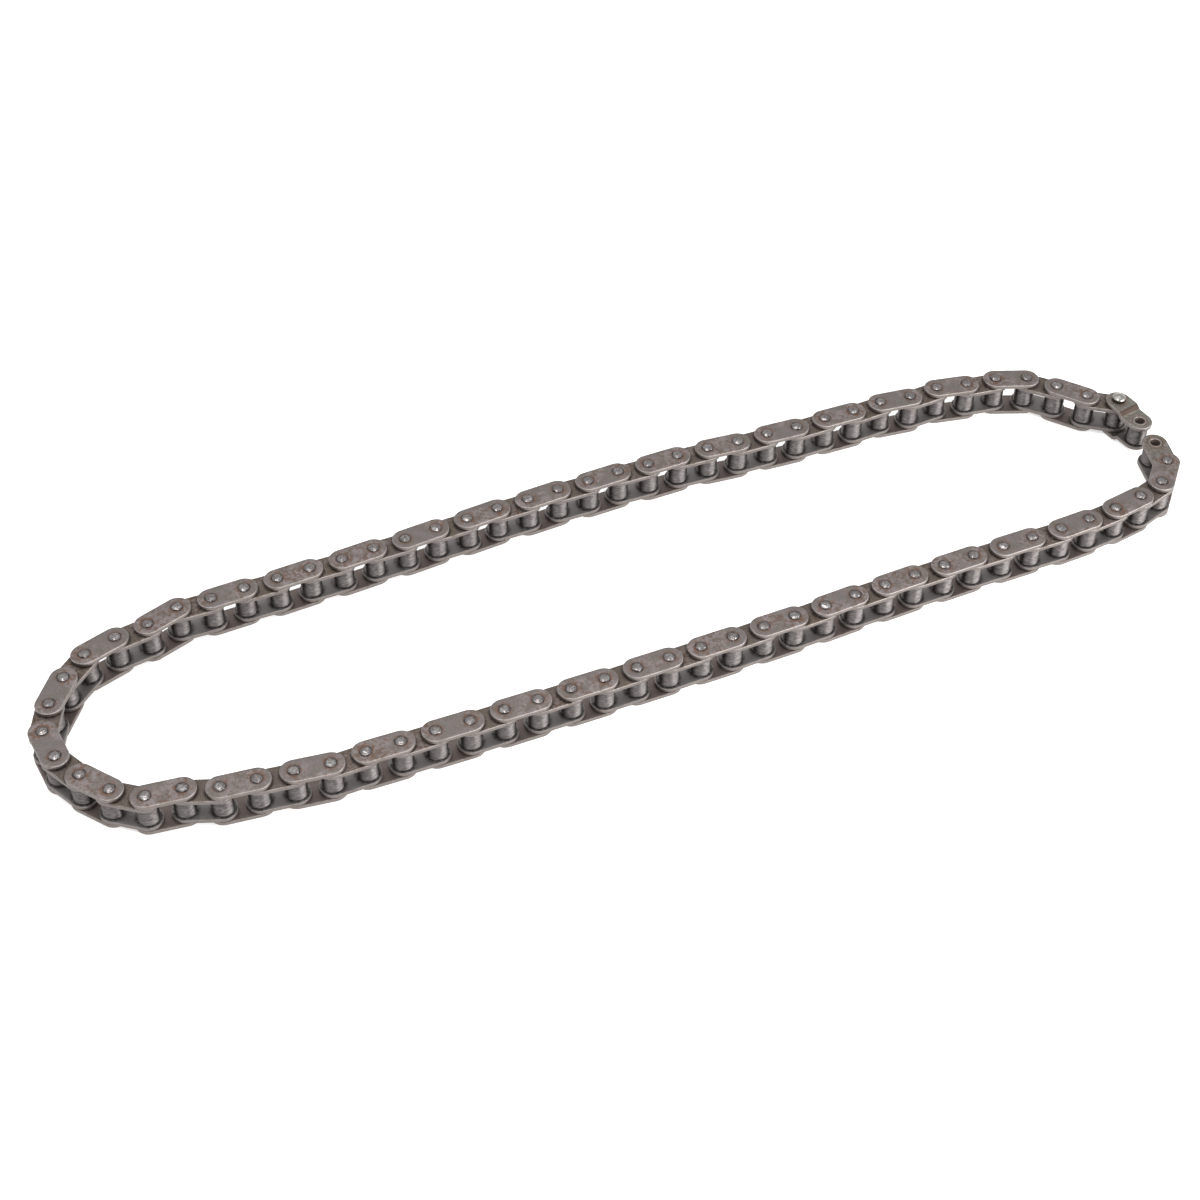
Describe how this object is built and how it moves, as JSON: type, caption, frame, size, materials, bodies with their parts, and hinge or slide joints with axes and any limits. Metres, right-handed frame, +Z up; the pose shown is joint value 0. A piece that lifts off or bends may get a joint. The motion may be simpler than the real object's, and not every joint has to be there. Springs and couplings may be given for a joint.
{
  "type": "drive chain",
  "caption": "Used steel roller chain with an offset link at one end and an open inner link at the other, lying on its side in a long folded loop.",
  "frame": {"origin": "centre of the laid chain's box, on the surface it lies on", "axes": "+X along the two long runs towards the open ends, +Z up, along the pins, towards the domed head of the offset link's pin"},
  "size_m": [0.679, 0.1616, 0.0276],
  "materials": {
    "link_steel": "rolled steel, worn, lightly browned by grease",
    "plate_steel": "rolled steel, worn, lightly browned by grease",
    "pin_steel": "ground steel, rubbed bright on the head",
    "bush_steel": "hardened steel, dull",
    "roller_steel": "hardened steel, polished by use"
  },
  "bodies": {
    "offset_link": {"offset_plate_upper": "plate_steel", "offset_plate_lower": "plate_steel", "offset_bush": "bush_steel", "offset_pin": "pin_steel"},
    "offset_roller": {"offset_roller": "roller_steel"},
    "inner_link_01": {"inner_link_01": "link_steel"},
    "outer_link_01": {"outer_link_01": "link_steel"},
    "inner_link_02": {"inner_link_02": "link_steel"},
    "outer_link_02": {"outer_link_02": "link_steel"},
    "inner_link_03": {"inner_link_03": "link_steel"},
    "outer_link_03": {"outer_link_03": "link_steel"},
    "link_pair_04": {"link_pair_04": "link_steel"},
    "link_pair_05": {"link_pair_05": "link_steel"},
    "link_pair_06": {"link_pair_06": "link_steel"},
    "link_pair_07": {"link_pair_07": "link_steel"},
    "link_pair_08": {"link_pair_08": "link_steel"},
    "link_pair_09": {"link_pair_09": "link_steel"},
    "link_pair_10": {"link_pair_10": "link_steel"},
    "link_pair_11": {"link_pair_11": "link_steel"},
    "link_pair_12": {"link_pair_12": "link_steel"},
    "link_pair_13": {"link_pair_13": "link_steel"},
    "link_pair_14": {"link_pair_14": "link_steel"},
    "link_pair_15": {"link_pair_15": "link_steel"},
    "inner_link_16": {"inner_link_16": "link_steel"},
    "outer_link_16": {"outer_link_16": "link_steel"},
    "inner_link_17": {"inner_link_17": "link_steel"},
    "outer_link_17": {"outer_link_17": "link_steel"},
    "inner_link_18": {"inner_link_18": "link_steel"},
    "outer_link_18": {"outer_link_18": "link_steel"},
    "inner_link_19": {"inner_link_19": "link_steel"},
    "outer_link_19": {"outer_link_19": "link_steel"},
    "inner_link_20": {"inner_link_20": "link_steel"},
    "outer_link_20": {"outer_link_20": "link_steel"},
    "inner_link_21": {"inner_link_21": "link_steel"},
    "outer_link_21": {"outer_link_21": "link_steel"},
    "inner_link_22": {"inner_link_22": "link_steel"},
    "outer_link_22": {"outer_link_22": "link_steel"},
    "link_pair_23": {"link_pair_23": "link_steel"},
    "link_pair_24": {"link_pair_24": "link_steel"},
    "link_pair_25": {"link_pair_25": "link_steel"},
    "link_pair_26": {"link_pair_26": "link_steel"},
    "link_pair_27": {"link_pair_27": "link_steel"},
    "link_pair_28": {"link_pair_28": "link_steel"},
    "link_pair_29": {"link_pair_29": "link_steel"},
    "link_pair_30": {"link_pair_30": "link_steel"},
    "link_pair_31": {"link_pair_31": "link_steel"},
    "link_pair_32": {"link_pair_32": "link_steel"},
    "link_pair_33": {"link_pair_33": "link_steel"},
    "link_pair_34": {"link_pair_34": "link_steel"},
    "inner_link_35": {"inner_link_35": "link_steel"},
    "outer_link_35": {"outer_link_35": "link_steel"},
    "inner_link_36": {"inner_link_36": "link_steel"},
    "outer_link_36": {"outer_link_36": "link_steel"},
    "inner_link_37": {"inner_link_37": "link_steel"},
    "outer_link_37": {"outer_link_37": "link_steel"},
    "end_link": {"end_plate_upper": "plate_steel", "end_plate_lower": "plate_steel", "end_bushes": "bush_steel"},
    "end_roller_near": {"end_roller_near": "roller_steel"},
    "end_roller_open": {"end_roller_open": "roller_steel"}
  },
  "joints": [
    {"name": "pin_38", "type": "hinge", "parent": "outer_link_19", "child": "inner_link_19", "pos_m": [-0.33188, 0.00511, 0.01248], "axis": [0, 0, 1], "range_deg": [0, 30]},
    {"name": "pin_37", "type": "hinge", "parent": "inner_link_19", "child": "outer_link_18", "pos_m": [-0.32435, 0.02261, 0.01248], "axis": [0, 0, -1], "range_deg": [-30, 0]},
    {"name": "pin_36", "type": "hinge", "parent": "outer_link_18", "child": "inner_link_18", "pos_m": [-0.31307, 0.03796, 0.01248], "axis": [0, 0, 1], "range_deg": [0, 30]},
    {"name": "pin_35", "type": "hinge", "parent": "inner_link_18", "child": "outer_link_17", "pos_m": [-0.29863, 0.05038, 0.01248], "axis": [0, 0, -1], "range_deg": [-30, 0]},
    {"name": "pin_34", "type": "hinge", "parent": "outer_link_17", "child": "inner_link_17", "pos_m": [-0.28048, 0.05618, 0.01248], "axis": [0, 0, 1], "range_deg": [0, 30]},
    {"name": "pin_33", "type": "hinge", "parent": "inner_link_17", "child": "outer_link_16", "pos_m": [-0.26165, 0.05906, 0.01248], "axis": [0, 0, -1], "range_deg": [-30, 0]},
    {"name": "pin_32", "type": "hinge", "parent": "outer_link_16", "child": "inner_link_16", "pos_m": [-0.2436, 0.06517, 0.01248], "axis": [0, 0, 1], "range_deg": [0, 30]},
    {"name": "pin_31", "type": "hinge", "parent": "inner_link_16", "child": "link_pair_15", "pos_m": [-0.22456, 0.06473, 0.01248], "axis": [0, 0, -1], "range_deg": [-45, 0]},
    {"name": "pin_29", "type": "hinge", "parent": "link_pair_15", "child": "link_pair_14", "pos_m": [-0.18647, 0.06527, 0.01248], "axis": [0, 0, 1], "range_deg": [0, 45]},
    {"name": "pin_27", "type": "hinge", "parent": "link_pair_14", "child": "link_pair_13", "pos_m": [-0.1484, 0.06633, 0.01248], "axis": [0, 0, -1], "range_deg": [-45, 0]},
    {"name": "pin_25", "type": "hinge", "parent": "link_pair_13", "child": "link_pair_12", "pos_m": [-0.11034, 0.06792, 0.01248], "axis": [0, 0, 1], "range_deg": [0, 45]},
    {"name": "pin_23", "type": "hinge", "parent": "link_pair_12", "child": "link_pair_11", "pos_m": [-0.07231, 0.07005, 0.01248], "axis": [0, 0, -1], "range_deg": [-45, 0]},
    {"name": "pin_21", "type": "hinge", "parent": "link_pair_11", "child": "link_pair_10", "pos_m": [-0.03426, 0.07171, 0.01248], "axis": [0, 0, 1], "range_deg": [0, 45]},
    {"name": "pin_19", "type": "hinge", "parent": "link_pair_10", "child": "link_pair_09", "pos_m": [0.00381, 0.07258, 0.01248], "axis": [0, 0, -1], "range_deg": [-60, 0]},
    {"name": "pin_17", "type": "hinge", "parent": "link_pair_09", "child": "link_pair_08", "pos_m": [0.04189, 0.07264, 0.01248], "axis": [0, 0, 1], "range_deg": [0, 60]},
    {"name": "pin_15", "type": "hinge", "parent": "link_pair_08", "child": "link_pair_07", "pos_m": [0.07996, 0.07191, 0.01248], "axis": [0, 0, -1], "range_deg": [-60, 0]},
    {"name": "pin_13", "type": "hinge", "parent": "link_pair_07", "child": "link_pair_06", "pos_m": [0.11799, 0.06989, 0.01248], "axis": [0, 0, 1], "range_deg": [0, 60]},
    {"name": "pin_11", "type": "hinge", "parent": "link_pair_06", "child": "link_pair_05", "pos_m": [0.15605, 0.06905, 0.01248], "axis": [0, 0, -1], "range_deg": [-60, 0]},
    {"name": "pin_09", "type": "hinge", "parent": "link_pair_05", "child": "link_pair_04", "pos_m": [0.19413, 0.06942, 0.01248], "axis": [0, 0, 1], "range_deg": [0, 60]},
    {"name": "pin_07", "type": "hinge", "parent": "link_pair_04", "child": "outer_link_03", "pos_m": [0.23208, 0.06826, 0.01248], "axis": [0, 0, -1], "range_deg": [-75, 0]},
    {"name": "pin_06", "type": "hinge", "parent": "outer_link_03", "child": "inner_link_03", "pos_m": [0.25078, 0.06463, 0.01248], "axis": [0, 0, 1], "range_deg": [0, 75]},
    {"name": "pin_05", "type": "hinge", "parent": "inner_link_03", "child": "outer_link_02", "pos_m": [0.26965, 0.06197, 0.01248], "axis": [0, 0, -1], "range_deg": [-75, 0]},
    {"name": "pin_04", "type": "hinge", "parent": "outer_link_02", "child": "inner_link_02", "pos_m": [0.28743, 0.05515, 0.01248], "axis": [0, 0, 1], "range_deg": [0, 75]},
    {"name": "pin_03", "type": "hinge", "parent": "inner_link_02", "child": "outer_link_01", "pos_m": [0.30079, 0.04156, 0.01248], "axis": [0, 0, -1], "range_deg": [-75, 45]},
    {"name": "pin_02", "type": "hinge", "parent": "outer_link_01", "child": "inner_link_01", "pos_m": [0.3129, 0.02686, 0.01248], "axis": [0, 0, 1], "range_deg": [-45, 75]},
    {"name": "pin_01", "type": "hinge", "parent": "inner_link_01", "child": "offset_link", "pos_m": [0.32841, 0.0158, 0.01248], "axis": [0, 0, -1], "range_deg": [-75, 45]},
    {"name": "pin_39", "type": "hinge", "parent": "outer_link_19", "child": "inner_link_20", "pos_m": [-0.32982, -0.01383, 0.01248], "axis": [0, 0, -1], "range_deg": [0, 30]},
    {"name": "pin_40", "type": "hinge", "parent": "inner_link_20", "child": "outer_link_20", "pos_m": [-0.32097, -0.03069, 0.01248], "axis": [0, 0, 1], "range_deg": [-30, 0]},
    {"name": "pin_41", "type": "hinge", "parent": "outer_link_20", "child": "inner_link_21", "pos_m": [-0.30945, -0.04587, 0.01248], "axis": [0, 0, -1], "range_deg": [0, 30]},
    {"name": "pin_42", "type": "hinge", "parent": "inner_link_21", "child": "outer_link_21", "pos_m": [-0.2941, -0.05714, 0.01248], "axis": [0, 0, 1], "range_deg": [-30, 0]},
    {"name": "pin_43", "type": "hinge", "parent": "outer_link_21", "child": "inner_link_22", "pos_m": [-0.27518, -0.0594, 0.01248], "axis": [0, 0, -1], "range_deg": [0, 30]},
    {"name": "pin_44", "type": "hinge", "parent": "inner_link_22", "child": "outer_link_22", "pos_m": [-0.25732, -0.06601, 0.01248], "axis": [0, 0, 1], "range_deg": [-30, 0]},
    {"name": "pin_45", "type": "hinge", "parent": "outer_link_22", "child": "link_pair_23", "pos_m": [-0.23838, -0.0681, 0.01248], "axis": [0, 0, -1], "range_deg": [0, 30]},
    {"name": "pin_47", "type": "hinge", "parent": "link_pair_23", "child": "link_pair_24", "pos_m": [-0.20057, -0.07278, 0.01248], "axis": [0, 0, 1], "range_deg": [-45, 0]},
    {"name": "pin_49", "type": "hinge", "parent": "link_pair_24", "child": "link_pair_25", "pos_m": [-0.16248, -0.07281, 0.01248], "axis": [0, 0, -1], "range_deg": [0, 45]},
    {"name": "pin_51", "type": "hinge", "parent": "link_pair_25", "child": "link_pair_26", "pos_m": [-0.12438, -0.07314, 0.01248], "axis": [0, 0, 1], "range_deg": [-45, 0]},
    {"name": "pin_53", "type": "hinge", "parent": "link_pair_26", "child": "link_pair_27", "pos_m": [-0.08628, -0.07321, 0.01248], "axis": [0, 0, -1], "range_deg": [0, 45]},
    {"name": "pin_55", "type": "hinge", "parent": "link_pair_27", "child": "link_pair_28", "pos_m": [-0.04818, -0.07301, 0.01248], "axis": [0, 0, 1], "range_deg": [-45, 0]},
    {"name": "pin_57", "type": "hinge", "parent": "link_pair_28", "child": "link_pair_29", "pos_m": [-0.01009, -0.07254, 0.01248], "axis": [0, 0, -1], "range_deg": [0, 45]},
    {"name": "pin_59", "type": "hinge", "parent": "link_pair_29", "child": "link_pair_30", "pos_m": [0.028, -0.07181, 0.01248], "axis": [0, 0, 1], "range_deg": [-60, 0]},
    {"name": "pin_61", "type": "hinge", "parent": "link_pair_30", "child": "link_pair_31", "pos_m": [0.06609, -0.07081, 0.01248], "axis": [0, 0, -1], "range_deg": [0, 60]},
    {"name": "pin_63", "type": "hinge", "parent": "link_pair_31", "child": "link_pair_32", "pos_m": [0.10415, -0.06908, 0.01248], "axis": [0, 0, 1], "range_deg": [-60, 0]},
    {"name": "pin_65", "type": "hinge", "parent": "link_pair_32", "child": "link_pair_33", "pos_m": [0.14223, -0.06789, 0.01248], "axis": [0, 0, -1], "range_deg": [0, 60]},
    {"name": "pin_67", "type": "hinge", "parent": "link_pair_33", "child": "link_pair_34", "pos_m": [0.18033, -0.06722, 0.01248], "axis": [0, 0, 1], "range_deg": [-60, 0]},
    {"name": "pin_69", "type": "hinge", "parent": "link_pair_34", "child": "inner_link_35", "pos_m": [0.21842, -0.06709, 0.01248], "axis": [0, 0, -1], "range_deg": [0, 60]},
    {"name": "pin_70", "type": "hinge", "parent": "inner_link_35", "child": "outer_link_35", "pos_m": [0.23747, -0.06739, 0.01248], "axis": [0, 0, 1], "range_deg": [-75, 0]},
    {"name": "pin_71", "type": "hinge", "parent": "outer_link_35", "child": "inner_link_36", "pos_m": [0.2565, -0.06656, 0.01248], "axis": [0, 0, -1], "range_deg": [0, 75]},
    {"name": "pin_72", "type": "hinge", "parent": "inner_link_36", "child": "outer_link_36", "pos_m": [0.27545, -0.0646, 0.01248], "axis": [0, 0, 1], "range_deg": [-75, 0]},
    {"name": "pin_73", "type": "hinge", "parent": "outer_link_36", "child": "inner_link_37", "pos_m": [0.29425, -0.06152, 0.01248], "axis": [0, 0, -1], "range_deg": [-45, 75]},
    {"name": "pin_74", "type": "hinge", "parent": "inner_link_37", "child": "outer_link_37", "pos_m": [0.31244, -0.05586, 0.01248], "axis": [0, 0, 1], "range_deg": [-75, 45]},
    {"name": "pin_75", "type": "hinge", "parent": "outer_link_37", "child": "end_link", "pos_m": [0.32536, -0.04186, 0.01248], "axis": [0, 0, -1], "range_deg": [-45, 75]},
    {"name": "offset_roller_spin", "type": "hinge", "parent": "offset_link", "child": "offset_roller", "pos_m": [0.33188, -0.00293, 0.01248], "axis": [0, 0, 1], "continuous": true},
    {"name": "end_roller_near_spin", "type": "hinge", "parent": "end_link", "child": "end_roller_near", "pos_m": [0.32536, -0.04186, 0.01248], "axis": [0, 0, 1], "continuous": true},
    {"name": "end_roller_open_spin", "type": "hinge", "parent": "end_link", "child": "end_roller_open", "pos_m": [0.32955, -0.02327, 0.01248], "axis": [0, 0, 1], "continuous": true}
  ]
}
